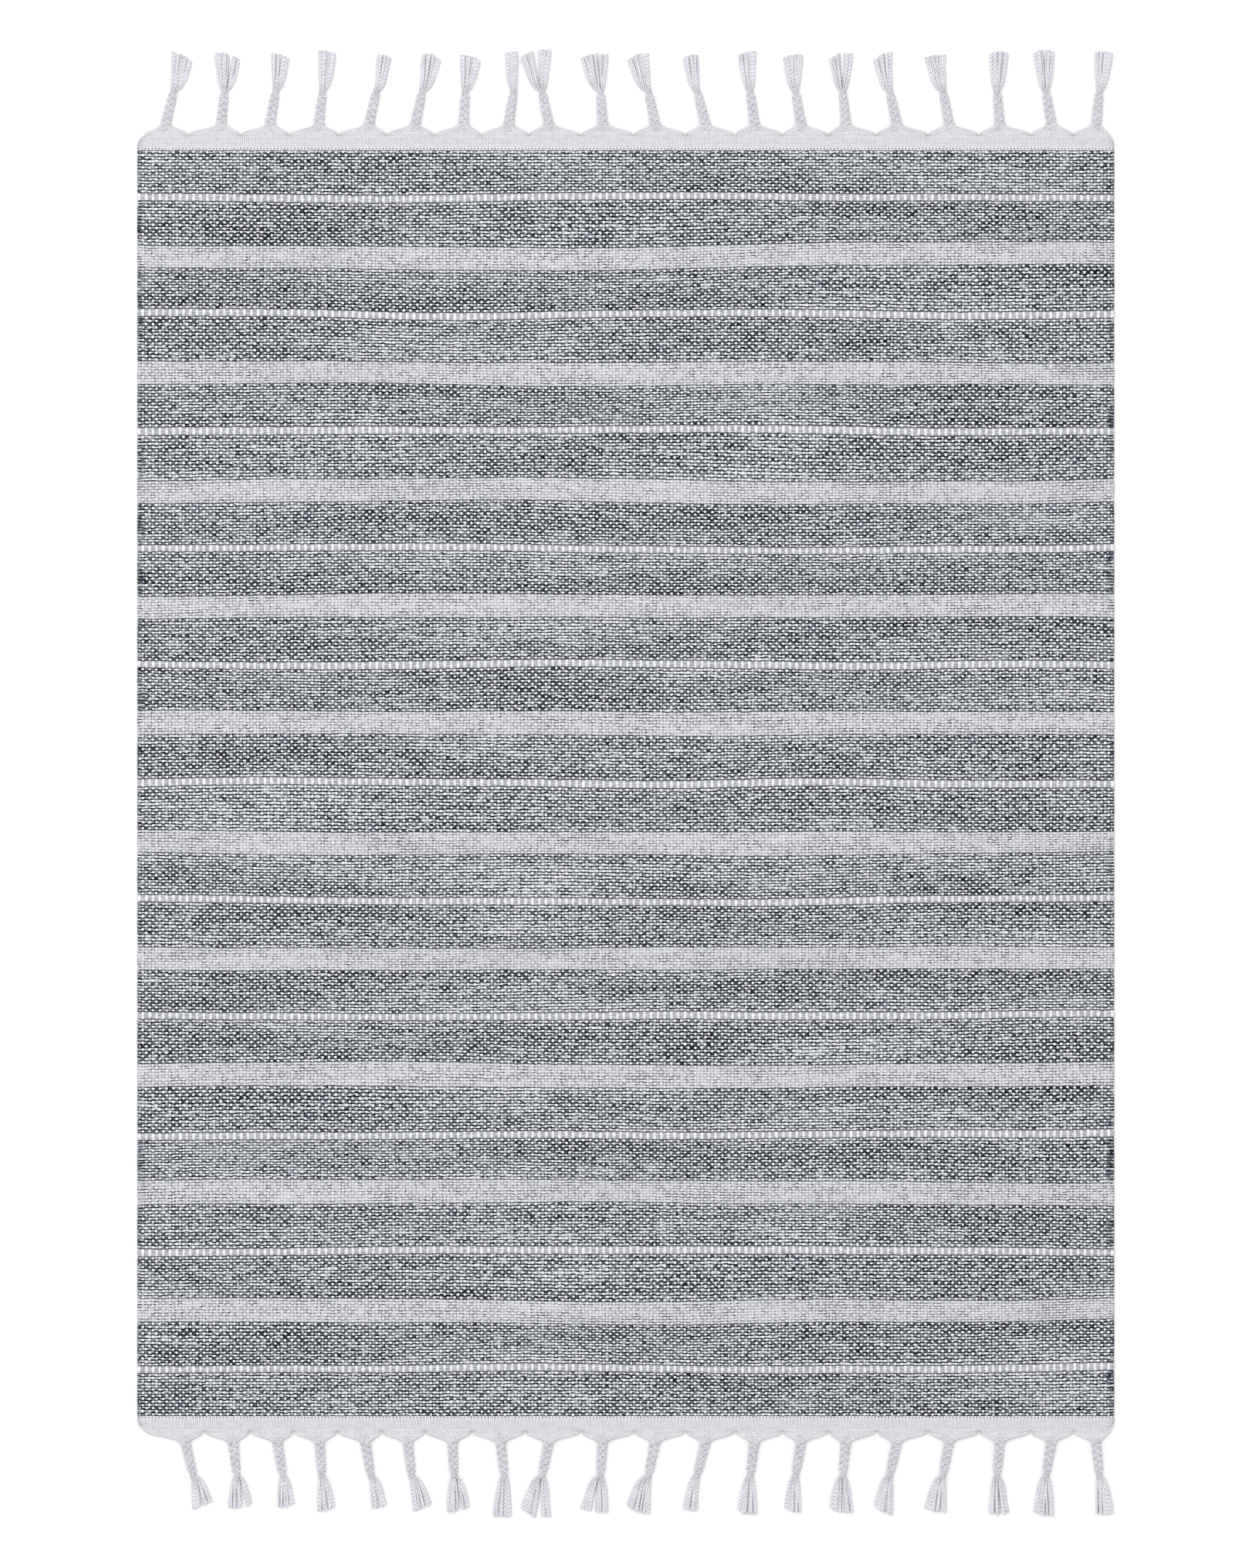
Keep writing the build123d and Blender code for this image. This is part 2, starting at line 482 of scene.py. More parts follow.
def join_meshes(name, meshes):
    """One object from several meshes that share a material and attributes."""
    parts = []
    for mesh in meshes:
        part = bpy.data.objects.new(name + "_part", mesh)
        bpy.context.collection.objects.link(part)
        parts.append(part)
    with bpy.context.temp_override(active_object=parts[0], selected_editable_objects=parts):
        bpy.ops.object.join()
    parts[0].name = name
    parts[0].data.name = name
    return parts[0]


def place_piece(name, mesh):
    """A finished piece at the origin, unturned and unscaled."""
    piece = bpy.data.objects.new(name, mesh)
    bpy.context.collection.objects.link(piece)
    return piece


def bands(wanted=None):
    """Each band along the warp, or each of one kind: kind, south, north, picks, first pick."""
    rows = []
    south, first = -FIELD_EDGE, 0
    for repeat in range(REPEATS):
        for kind, length, picks in (HEATHER, CORD, HEATHER, PALE):
            if kind == "pale" and repeat == REPEATS - 1:
                continue
            rows.append((kind, south, south + length, picks, first))
            south += length
            first += picks
    return [row for row in rows if wanted in (None, row[0])]


def weave(name, material, west, east, ends, first_end, band,
          outward=0.0, fall=0.0, peak=None):
    """One patch of woven cloth. A peak makes it an arch, which laps over the heading."""
    cloth = bpy.context.scene.rug_cloth
    kind, south, north, picks, first = band
    reliefs = {"cord": cloth.cord_relief, "heading": cloth.heading_relief}
    valley = cloth.heading_valley if kind == "heading" else cloth.cloth_valley
    arch = peak is not None
    return grow(
        name, bpy.data.meshes.new(name), tree_of("plain_weave", weave_tree),
        West=west, East=east, South=south, North=north, Ends=ends, Picks=picks,
        Rows_per_pick=CORD_ROWS if kind == "cord" else THREAD_ROWS,
        First_end=float(first_end), First_pick=float(first),
        Valley=valley + (ARCH_LIFT if arch else 0.0),
        Relief=reliefs.get(kind, cloth.thread_relief),
        Outward=outward, Fall=fall, Wander=cloth.wander, Jitter=cloth.jitter,
        Arch=1.0 if arch else 0.0, Peak=peak if arch else 0.0, Material=material)


def weave_field(name, material, band):
    """One patch of woven cloth from selvedge to selvedge."""
    return weave(name, material, -FIELD_HALF_WIDTH, FIELD_HALF_WIDTH, INNER_ENDS, 0, band)


# ---------------------------------------------------------------- materials
def new_material(name):
    """An empty node material and its graph."""
    material = bpy.data.materials.new(name)
    material.use_nodes = True
    material.node_tree.nodes.clear()
    return material, Graph(material.node_tree)


def cotton(g, colour, height, depth, roughness=0.85):
    """Ends a material in a matt cotton surface with a bump."""
    bump = g.node("ShaderNodeBump", None, {"Height": height, "Distance": depth, "Strength": 1.0})
    surface = g.node("ShaderNodeBsdfPrincipled", None, {
        "Base Color": colour, "Roughness": roughness, "Normal": bump,
        "Specular IOR Level": 0.2, "Sheen Weight": 0.15, "Sheen Roughness": 0.5})
    leave = g.tree.nodes.new("ShaderNodeOutputMaterial")
    g.feed(leave.inputs["Surface"], surface)


def object_place(g):
    """Object coordinates in millimetres."""
    made = g.node("ShaderNodeTexCoord", output="Object")
    return [axis * (1 / MM) for axis in g.parts(made)]


def thread_cell(g, wobble=0.16):
    """Where a point lies in the weave: its end and pick, its place in that cell, what is on top."""
    place = g.node("ShaderNodeAttribute", {"attribute_name": "weave"}, output="Vector")
    u, v, under = g.parts(place)
    x, y, _ = object_place(g)
    u = u + (g.noise(x / 3.1, y / 2.3, 5.0) - 0.5) * wobble * 2.0
    v = v + (g.noise(x / 4.7, y / 2.9, 9.0) - 0.5) * wobble * 2.0
    end = g.math("FLOOR", u)
    pick = g.math("FLOOR", v)
    fu = u - end - 0.5
    fv = v - pick - 0.5
    weft_up = (end + pick + under) % 2.0
    return x, y, end, pick, fu, fv, weft_up


def turned_back(g, x, y):
    """1 at the outer edges, where the weft turns back over the last ends, and 0 further in."""
    wide = g.step(g.noise(x / 90.0, y / 34.0, 41.0), 0.5, 0.62) * 2.8
    outer = HALF_WIDTH / MM
    return g.step(abs(x) + wide, outer - 1.9, outer - 0.8)


def heather_material(name="heather_weave"):
    """White warp over a heathered grey weft."""
    colours = bpy.context.scene.rug_colours
    material, g = new_material(name)
    x, y, end, pick, fu, fv, weft_up = thread_cell(g)

    own = g.noise(end * 3.7 + 0.5, pick * 5.1 + 0.3, 2.2)
    other = g.noise(end * 4.3 + 0.2, pick * 2.9 + 0.6, 8.4)
    uneven = 0.6 + g.noise(x / 1.6, y / 1.3, 7.0) * 1.0
    across = abs(fu + (own - 0.5) * 0.3) / (0.30 + other * 0.29)
    along = abs(fv) / (0.29 + own * 0.25)
    dot = (across ** 2.2 + along ** 2.2) * uneven
    turned = turned_back(g, x, y)
    warp_up = (1.0 - weft_up) * (1.0 - g.step(dot, 0.5, 1.1)) * (1.0 - turned)

    ply = g.math("FLOOR", fv * 4.0 + x / 3.4)
    streak = g.noise(x / 24.0, pick * 5.3, 1.0)
    fleck = g.noise(x / 3.4, pick * 7.1 + ply * 2.7, 2.0)
    patch = g.noise(x / 150.0, y / 22.0, 4.0) - 0.5
    tone = 0.51 + (streak - 0.5) * 0.8 + (fleck - 0.5) * 1.5 + patch * 0.75
    weft = g.ramp(tone, [
        (0.16, colours.weft_darkest[:]), (0.36, colours.weft_slate[:]),
        (0.55, colours.weft_grey[:]), (0.80, colours.weft_light[:])])
    # Painted highlight: along the northern half of some weft floats the colour is blended towards
    # the warp white, where light would catch the float.
    lit = g.step(g.noise(x / 5.0, pick * 6.7, 19.0), 0.44, 0.58) * g.step(fv, 0.0, 0.12)
    weft = g.blend(lit * 0.9, weft, colours.warp[:])
    # Painted shade: a broken dark line in the gap between picks, and a dark rim round each warp dot
    # where it sinks between the floats; both blend towards the darkest weft colour.
    broken = 0.45 + g.step(g.noise(x / 3.0, pick * 3.9, 13.0), 0.36, 0.52) * 0.55
    pick_gap_shade = g.step(abs(fv + 0.04), 0.20, 0.34) * broken
    shade_beside_thread = (1.0 - weft_up) * g.step(dot, 0.9, 1.6) * (0.35 + broken * 0.5)
    weft = g.blend(g.math("MAXIMUM", pick_gap_shade, shade_beside_thread), weft, colours.weft_darkest[:])
    # Painted shade: each warp dot greys a little towards its rounded rim.
    thread = g.blend(g.step(dot, 0.3, 1.0) * 0.3, colours.warp[:], colours.weft_grey[:])
    colour = g.blend(warp_up, weft, thread)

    crown = 1.0 - dot * 0.5
    float_height = 0.7 - (abs(fv) / 0.5) ** 2.0 * 0.6
    height = g.mix(warp_up, float_height, crown)
    cotton(g, colour, height, 0.5 * MM)
    return material


def pale_material(name="pale_weave", gap=0.95):
    """White warp and a pale weft, with thin grey shadows between the picks."""
    colours = bpy.context.scene.rug_colours
    material, g = new_material(name)
    x, y, _, pick, fu, fv, weft_up = thread_cell(g, 0.2)
    dot = (abs(fu) / 0.45) ** 2.4 + (abs(fv) / 0.44) ** 2.4
    turned = turned_back(g, x, y)
    warp_up = (1.0 - weft_up) * (1.0 - g.step(dot, 0.7, 1.2)) * (1.0 - turned)
    tint = g.noise(x / 9.0, pick * 4.1, 2.0)
    weft = g.blend(g.step(tint, 0.36, 0.66) * 0.4, colours.pale[:], colours.pale_shadow[:])
    drift = g.noise(x / 60.0, y / 9.0, 21.0) - 0.5
    # Painted shade: a broken dark line in the gap between picks, a faint grey between the ends, and
    # grey towards the rim of each warp dot.
    broken = g.step(g.noise(x / 1.8, pick * 3.3, 6.0) + drift * 0.4, 0.5, 0.56)
    pick_gap_shade = g.step(abs(fv), 0.20, 0.36) * (0.16 + broken * 0.84)
    weft = g.blend(g.step(abs(fu), 0.25, 0.5) * 0.3, weft, colours.pale_shadow[:])
    weft = g.blend(pick_gap_shade * gap, weft, shade(24, 27, 36))
    thread = g.blend(g.step(dot, 0.1, 1.0) * 0.45, shade(238, 238, 243), colours.pale_shadow[:])
    colour = g.blend(warp_up, weft, thread)
    height = g.mix(warp_up, 0.7 - (abs(fv) / 0.5) ** 2.0 * 0.6, 1.0 - dot * 0.5)
    cotton(g, colour, height, 0.45 * MM)
    return material


def cord_material(name="cord_weft"):
    """A thick pick of several filaments between white warp bars."""
    colours = bpy.context.scene.rug_colours
    material, g = new_material(name)
    x, y, _, _, fu, fv, weft_up = thread_cell(g, 0.1)
    bar = (1.0 - weft_up) * (1.0 - g.step(abs(fu), 0.32, 0.5))
    wave = (g.noise(x / 3.3, y / 2.0, 8.0) - 0.5) * 1.1
    filament = abs(g.math("SINE", (fv + 0.5 + wave * 0.12) * (math.pi * 4.0)))
    # Painted shade: broken dark lines in the grooves between the pick's filaments.
    line = 1.0 - g.step(filament, 0.0, 0.6)
    dark = line * g.step(g.noise(x / 1.8, fv * 6.0, y / 50.0), 0.36, 0.58)
    soft = g.step(g.noise(x / 4.0, y / 1.4, 17.0), 0.35, 0.7)
    weft = g.blend(soft * 0.6, shade(212, 212, 221), colours.pale_shadow[:])
    weft = g.blend(dark * 0.8, weft, shade(84, 82, 96))
    # Painted shade: the pick darkens towards its edges, where it meets its neighbours, and the warp
    # bars grey there too; the bars' soft random tint is the yarn's own.
    edge = g.step(abs(fv), 0.36, 0.48)
    weft = g.blend(edge * 0.8, weft, shade(60, 63, 76))
    warp = g.blend(edge * 0.6 + soft * 0.3, colours.warp[:], colours.pale_shadow[:])
    colour = g.blend(bar, weft, warp)
    height = g.mix(bar, filament * 0.6, 1.0)
    cotton(g, colour, height, 0.4 * MM)
    return material


def heading_material(name="heading_weave"):
    """Fine dense white weave."""
    colours = bpy.context.scene.rug_colours
    material, g = new_material(name)
    x, y, _, _, fu, fv, weft_up = thread_cell(g, 0.16)
    dot = (abs(fu) / 0.48) ** 2.2 + (abs(fv) / 0.48) ** 2.2
    # Painted shade: grey in the gaps beside the ends and between the picks, by an amount that
    # varies with noise; the uneven tone mixed in with it is the yarn's own.
    uneven_gap_shade = 0.5 + g.noise(x / 2.6, y / 1.8, 12.0)
    shade_beside_thread, between = g.step(abs(fu), 0.1, 0.5) * 0.55, g.step(abs(fv), 0.2, 0.5) * 0.32
    gap = g.math("MAXIMUM", shade_beside_thread, between) * uneven_gap_shade
    base = g.blend(weft_up * 0.6, shade(242, 242, 246), shade(226, 226, 232))
    uneven = g.noise(x / 6.0, y / 3.0, 4.0) - 0.5
    colour = g.blend(gap + uneven * 0.3, base, colours.pale_shadow[:])

    # The first pick of the heading shows warp bars with a broken dark line between them.
    inner = (abs(y) - FIELD_EDGE / MM + (g.noise(x / 5.0, 5.0, 1.0) - 0.5) * 0.9) / 1.9
    first = 1.0 - g.step(inner, 1.0, 1.3)
    broken = g.step(g.noise(x / 2.0, 3.0, 8.0), 0.3, 0.5)
    line = first * (1.0 - g.step(abs(inner - 0.55), 0.1, 0.3)) * broken
    bar = g.step(abs((x / 2.12) % 1.0 - 0.5), 0.22, 0.36)
    colour = g.blend(line * (1.0 - bar) * 0.6, colour, shade(96, 98, 112))
    colour = g.blend(first * bar * 0.6, colour, colours.warp[:])
    cotton(g, colour, 1.0 - dot * 0.5, 0.3 * MM)
    return material


def yarn_material(name="fringe_cotton", groove_shade=0.65, colour=None):
    """Two-ply cotton yarn."""
    scene = bpy.context.scene
    material, g = new_material(name)
    place = g.node("ShaderNodeAttribute", {"attribute_name": "yarn"}, output="Vector")
    cosine, sine, along = g.parts(place)
    turn = along * (2 * math.pi / scene.rug_fringe.ply_pitch)
    cos_two = cosine * cosine - sine * sine
    sin_two = sine * cosine * 2.0
    ply = cos_two * g.math("COSINE", turn) + sin_two * g.math("SINE", turn)
    # Painted shade: the groove between the two plies darkens towards a lilac grey; the fibre noise
    # mixed in is the yarn's own.
    groove = 1.0 - g.step(ply, -1.0, -0.35)
    x, y, z = object_place(g)
    fibre = g.noise(x / 0.5, y / 1.6, z / 0.5)
    soft = g.noise(x / 7.0, y / 7.0, 3.0)
    white = colour or scene.rug_colours.fringe[:]
    tint = g.blend(g.step(soft, 0.35, 0.7) * 0.12, white, scene.rug_colours.pale_shadow[:])
    colour = g.blend(groove * groove_shade + (fibre - 0.5) * 0.25, tint, shade(122, 121, 138))
    cotton(g, colour, ply * 0.6 + fibre * 0.4, 0.35 * MM, 0.9)
    return material


# ---------------------------------------------------------------- tassels as curves
STRANDS = 3
YARNS_PER_STRAND = 5
YARNS = STRANDS * YARNS_PER_STRAND
NECK_REACH = 22.7 * MM  # from the hinge to the bound neck
NECK_YARN = 0.42 * MM
BRAID_TUCK = 2.6 * MM  # how far the braid starts behind the hinge
BRAID_POINTS = 40
BRAID_SWING = (1.85 * MM, 0.72 * MM)  # of a strand, sideways and up
BRAID_NARROWING = 0.18
SKIRT_POINTS = 14
BINDING_TURNS = 3
BINDING_WIDTH = 1.7 * MM
BINDING_RADII = (1.72 * MM, 1.66 * MM)
BINDING_YARN = 0.36 * MM
GATHER_PLIES = 30
GATHER_POINTS = 14
GATHER_PULL = 3.0 * MM  # how far a leaning tassel draws the feet of its gather
CORNER_DROP = 5.5 * MM  # how far the rounded corner falls back from the heading's edge
# A stretch behind and ahead of each tassel's hinge, which the fringe step works out but does not
# use.
BEND_BEHIND = 1.5 * MM
BEND_AHEAD = 3.5 * MM

# How far each tassel's tips fall short of the longest, in millimetres: left, middle and right.
TIP_CUTS = {
    "top": [(1.5, 2.8, 7.0), (2.2, 2.0, 6.8), (2.3, 3.0, 5.2), (0.6, 0.9, 3.1), (3.3, 3.3, 5.2),
            (2.4, 3.0, 7.2), (3.3, 3.8, 7.0), (2.3, 2.0, 1.1), (4.9, 0.0, 0.0), (5.1, 2.8, 2.4),
            (6.5, 2.6, 2.0), (5.3, 3.4, 3.8), (3.7, 1.3, 1.1), (5.3, 3.0, 2.9), (6.3, 2.2, 2.1),
            (6.4, 2.8, 1.1), (5.2, 3.1, 2.9), (2.8, 1.2, 2.4), (2.9, 0.2, 1.4), (1.5, 1.1, 1.9)],
    "bottom": [(4.8, 7.0, 10.0), (6.0, 5.7, 9.0), (5.7, 6.5, 8.2), (3.7, 3.9, 6.0), (5.1, 5.7, 7.4),
               (3.2, 5.4, 8.1), (3.2, 3.8, 6.3), (0.5, 0.0, 0.1), (5.3, 0.0, 0.1), (4.9, 3.3, 2.8),
               (6.9, 3.1, 2.3), (6.0, 3.8, 4.2), (4.1, 1.8, 1.4), (5.7, 3.3, 2.8), (6.6, 2.5, 2.8),
               (6.4, 3.3, 1.0), (5.5, 3.2, 3.2), (3.0, 1.2, 2.8), (3.2, 0.5, 1.3), (1.9, 1.8, 2.3)],
}


def tassel_joint(name):
    return next(j for j in frame["joints"] if j["child"] == name)


def node_points(name):
    """A CAD node's own points, at rest."""
    mesh = frame["nodes"][name].data
    points = np.empty(len(mesh.vertices) * 3)
    mesh.vertices.foreach_get("co", points)
    return points.reshape(-1, 3)


def tassel_plan(name):
    """Where a tassel's root, neck and tips lie, and how wide its tips spread."""
    hinge = np.array(tassel_joint(name)["pos_m"])
    outward = 1.0 if hinge[1] > 0 else -1.0
    points = node_points(name)
    reach = outward * points[:, 1]
    neck_reach = HINGE_EDGE + NECK_REACH
    tips = points[reach > reach.max() - 0.1 * MM]
    ring = points[abs(reach - neck_reach) < 1.4 * MM]
    neck = (ring.min(0) + ring.max(0)) / 2
    neck[1] = outward * neck_reach
    tip = (tips.min(0) + tips.max(0)) / 2
    tip[1] = outward * reach.max()
    _, end, number = name.split("_")
    return {
        "root": hinge, "neck": neck, "tip": tip, "spread": np.ptp(tips[:, 0]),
        "outward": outward, "cuts": np.array(TIP_CUTS[end][int(number) - 1]) * MM}


def curve_data(name, lines):
    """Curves from (points, radii) pairs."""
    data = bpy.data.curves.new(name, "CURVE")
    data.dimensions = "3D"
    for points, radii in lines:
        spline = data.splines.new("POLY")
        spline.points.add(len(points) - 1)
        spline.points.foreach_set("co", np.column_stack([points, np.ones(len(points))]).ravel())
        spline.points.foreach_set("radius", np.asarray(radii, float))
    return data


def ease(t):
    """0 before 0 and 1 after 1, with a smooth rise between them."""
    t = np.clip(t, 0.0, 1.0)
    return t * t * (3 - 2 * t)


def neck_slots():
    """Places of the yarns in the bound neck, as offsets in metres: one amid rings of 5 and 9."""
    slots = [(0.0, 0.0)]
    for count, first, width, height in ((5, 0.0, 0.68, 0.68), (9, 0.2, 1.25, 1.2)):
        for angle in np.linspace(first, 2 * math.pi + first, count, endpoint=False):
            slots.append((width * math.cos(angle), height * math.sin(angle)))
    return np.array(slots) * MM


def tassel_lines(plan, random):
    """The yarns of one tassel, from inside its root through the braid and neck to its tips."""
    fringe = bpy.context.scene.rug_fringe
    root, neck, tip = plan["root"], plan["neck"], plan["tip"]
    outward = plan["outward"]
    axis = neck - root
    length = np.linalg.norm(axis[:2])
    ahead = axis / np.linalg.norm(axis)
    side = np.array([ahead[1] * outward, -ahead[0] * outward, 0.0])
    side = side if side[0] > 0 else -side

    braid_steps = np.linspace(-BRAID_TUCK, length - 1.0 * MM, BRAID_POINTS)
    phase = random.uniform(0, 2 * math.pi)
    slots = neck_slots()
    slots = slots[np.argsort(slots[:, 0])]
    hand = random.choice([-1.0, 1.0])

    # The three strands cross in turn, as a figure of eight seen from the end.
    taper = 1 - BRAID_NARROWING * np.clip(braid_steps / length, 0, 1)
    offsets = []
    for strand in range(STRANDS):
        theta = hand * 2 * math.pi * braid_steps / fringe.braid_pitch
        theta = theta + phase + strand * 2 * math.pi / STRANDS
        centre_x = BRAID_SWING[0] * taper * np.sin(theta)
        centre_z = BRAID_SWING[1] * np.sin(2 * theta)
        slope = np.cos(theta) * hand
        for yarn in range(YARNS_PER_STRAND):
            across = yarn - (YARNS_PER_STRAND - 1) / 2
            offset_x = centre_x + across * 0.50 * MM * taper
            layer = 0.30 * MM if yarn % 2 else -0.25 * MM
            offset_z = centre_z + layer + 0.12 * MM * across * slope
            offsets.append((offset_x, offset_z))

    # At the end of the braid each yarn takes the neck slot nearest to its own side.
    order = np.argsort([x[-1] + 0.001 * MM * i for i, (x, _) in enumerate(offsets)])
    places = np.empty(YARNS, int)
    places[order] = np.arange(YARNS)

    spread = plan["spread"]
    radius = fringe.skirt_yarn
    parting = random.integers(7, 11)
    gap = random.uniform(0.0, 0.10) * spread + (0.10 * spread if spread > 15 * MM else 0.0)
    near = ease((braid_steps - (length - 4.0 * MM)) / (3.0 * MM))
    tuck = 1.3 * MM * np.clip(-braid_steps / BRAID_TUCK, 0, 1)
    t = np.linspace(0, 1, SKIRT_POINTS + 1)[1:]
    flare = 0.72 * t ** 0.38 + 0.28 * t
    lines = []
    for yarn, (offset_x, offset_z) in enumerate(offsets):
        slot = places[yarn]
        neck_x, neck_z = slots[slot]
        offset_x = offset_x + (neck_x - offset_x) * near
        offset_z = offset_z + (neck_z - offset_z) * near
        braid = root + np.outer(braid_steps, ahead) + np.outer(offset_x, side)
        braid[:, 2] = np.clip(braid[:, 2] + offset_z - tuck, 0.6 * MM, None)

        share = (slot + 0.5) / YARNS
        tip_x = (share - 0.5) * (spread - 2 * radius - gap)
        tip_x += gap / 2 if slot >= parting else -gap / 2
        tip_x += random.normal(0, 0.25) * MM
        upper = slot % 2 == yarn % 2
        tip_z = (2.25 if upper else 0.85) * MM + random.uniform(-0.1, 0.25) * MM
        cut = np.interp(share, (0.0, 0.5, 1.0), plan["cuts"])
        tip_y = tip[1] - outward * (cut + random.uniform(0.0, 1.0) * MM)
        height = random.uniform(0.1, 0.4) * MM
        wave = height * np.sin(t * random.uniform(3, 7) + random.uniform(0, 6)) * t
        skirt = np.empty((len(t), 3))
        start = neck + side * neck_x
        skirt[:, 0] = start[0] + (tip[0] + tip_x - start[0]) * flare + wave
        skirt[:, 1] = start[1] + (tip_y - start[1]) * t
        skirt[:, 2] = neck[2] + neck_z + (tip_z - neck[2] - neck_z) * ease(t * 1.6)
        middle = (start + np.array([0, 0, neck_z]))[None]
        points = np.concatenate([braid, middle, skirt])
        radii = np.concatenate([
            fringe.braid_yarn + (NECK_YARN - fringe.braid_yarn) * near,
            [NECK_YARN],
            NECK_YARN + (radius - NECK_YARN) * np.clip(t * 3.5, 0, 1) * (1 + 0.10 * (t > 0.93))])
        lines.append((points, radii))

    # The binding is wound round the neck.
    angle = np.linspace(0, 2 * math.pi * BINDING_TURNS, 16 * BINDING_TURNS)
    advance = (angle / angle[-1] - 0.5) * BINDING_WIDTH
    ring = neck + np.outer(advance, ahead) + np.outer(BINDING_RADII[0] * np.cos(angle), side)
    ring[:, 2] += BINDING_RADII[1] * np.sin(angle)
    ring[:, 2] = np.clip(ring[:, 2], NECK_YARN, None)
    lines.append((ring, np.full(len(ring), BINDING_YARN)))
    return lines


def bezier(a, b, c, d, steps):
    """Points along a cubic curve from a to d, drawn towards b and c."""
    t = np.linspace(0, 1, steps)[:, None]
    return a * (1 - t) ** 3 + 3 * b * t * (1 - t) ** 2 + 3 * c * t ** 2 * (1 - t) + d * t ** 3


def scallop_feet(plans):
    """Where one gather ends and the next begins along an end of the rug."""
    pulled = []
    for plan in plans:
        lean = np.sign(plan["neck"][0] - plan["root"][0])
        pulled.append(plan["root"][0] - lean * GATHER_PULL)
    middles = [(a + b) / 2 for a, b in zip(pulled, pulled[1:])]
    return [-HALF_WIDTH, *middles, HALF_WIDTH]


def gather_lines(plan, left, right, random):
    """The warp ends of one gather, which fan in from the heading to the root of the braid."""
    fringe = bpy.context.scene.rug_fringe
    root, outward = plan["root"], plan["outward"]
    lines = []
    for ply in range(GATHER_PLIES):
        share = (ply + 0.5) / GATHER_PLIES
        x = left + (right - left) * share
        half = (right - root[0]) if x > root[0] else (root[0] - left)
        far = abs(x - root[0]) / half
        corner = np.clip((abs(x) - HALF_WIDTH + HEADING_CORNER) / HEADING_CORNER, 0, 1) ** 2
        drop = corner * CORNER_DROP
        pull = np.sign(x - root[0])
        start = np.array([x, outward * (HEADING_EDGE - drop + 0.3 * MM), 1.3 * MM])
        shoulder = np.array([
            x - pull * far * 0.4 * MM,
            outward * (HEADING_EDGE - drop * 0.8 + 3.4 * MM),
            2.1 * MM])
        inward = np.array([
            root[0] + pull * (5.2 * far + 0.1) * MM,
            outward * (HEADING_EDGE + 3.6 * MM),
            1.9 * MM])
        end = np.array([
            root[0] + pull * far * 2.0 * MM + (plan["neck"][0] - root[0]) * 0.07,
            outward * (HINGE_EDGE + 1.4 * MM),
            root[2] + random.uniform(-0.5, 0.9) * MM])
        points = bezier(start, shoulder, inward, end, GATHER_POINTS)
        points[:, 2] += random.uniform(-0.15, 0.25) * MM
        lines.append((points, np.full(len(points), fringe.gather_yarn)))
    return lines


# ---------------------------------------------------------------- operators
CAMERA_PLACE = (1.1 * MM, -0.5 * MM, 8.0)
FRAMED_HEIGHT = 0.980  # the height of floor in view
FLOOR_HALF = 6.0
WORLD_STRENGTH = 0.78
LAMP_PLACE = (-0.9, 1.0, 4.0)
LAMP_TURN = (-14, -13, 0)
LAMP_SIZE = 3.0
LAMP_POWER = 78.0


class RUG_OT_stage(bpy.types.Operator):
    """Sets the camera straight above the rug, with a pale floor and soft light"""

    bl_idname = "rug.stage"
    bl_label = "Stage"

    def execute(self, context):
        scene = context.scene
        camera_data = bpy.data.cameras.new("camera")
        camera = bpy.data.objects.new("camera", camera_data)
        context.collection.objects.link(camera)
        camera.location = CAMERA_PLACE
        camera_data.sensor_fit = "VERTICAL"
        camera_data.sensor_height = 24.0
        camera_data.lens = camera_data.sensor_height * CAMERA_PLACE[2] / FRAMED_HEIGHT
        camera_data.clip_end = 50.0
        scene.camera = camera

        floor_mesh = bpy.data.meshes.new("floor")
        corners = ((-1, -1), (1, -1), (1, 1), (-1, 1))
        corners = [(x * FLOOR_HALF, y * FLOOR_HALF, 0) for x, y in corners]
        floor_mesh.from_pydata(corners, [], [(0, 1, 2, 3)])
        floor = place_piece("floor", floor_mesh)
        material, g = new_material("floor_paint")
        surface = g.node("ShaderNodeBsdfPrincipled", None, {
            "Base Color": (0.95, 0.95, 0.95, 1), "Roughness": 0.9, "Specular IOR Level": 0.0})
        leave = g.tree.nodes.new("ShaderNodeOutputMaterial")
        g.feed(leave.inputs["Surface"], surface)
        floor_mesh.materials.append(material)

        world = bpy.data.worlds.new("studio")
        world.use_nodes = True
        background = world.node_tree.nodes["Background"].inputs
        background["Color"].default_value = (1, 1, 1, 1)
        background["Strength"].default_value = WORLD_STRENGTH
        scene.world = world
        lamp_data = bpy.data.lights.new("softbox", "AREA")
        lamp_data.energy = LAMP_POWER
        lamp_data.size = LAMP_SIZE
        lamp = bpy.data.objects.new("softbox", lamp_data)
        lamp.location = LAMP_PLACE
        lamp.rotation_euler = [math.radians(angle) for angle in LAMP_TURN]
        context.collection.objects.link(lamp)
        scene.view_settings.view_transform = "Standard"
        return {"FINISHED"}


class RUG_OT_heather_bands(bpy.types.Operator):
    """Weaves the heather bands"""

    bl_idname = "rug.heather_bands"
    bl_label = "Heather bands"

    def execute(self, context):
        material = heather_material()
        for number, band in enumerate(bands("heather"), start=1):
            name = f"heather_band_{number:02d}"
            piece = place_piece(name, weave_field(name, material, band))
            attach(piece, RUG)
            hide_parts("heather_bands")
        return {"FINISHED"}


class RUG_OT_pale_stripes(bpy.types.Operator):
    """Weaves the pale stripes"""

    bl_idname = "rug.pale_stripes"
    bl_label = "Pale stripes"

    def execute(self, context):
        material = pale_material()
        for number, band in enumerate(bands("pale"), start=1):
            name = f"pale_stripe_{number:02d}"
            piece = place_piece("woven_" + name, weave_field(name, material, band))
            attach(piece, RUG)
            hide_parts(name)
        return {"FINISHED"}


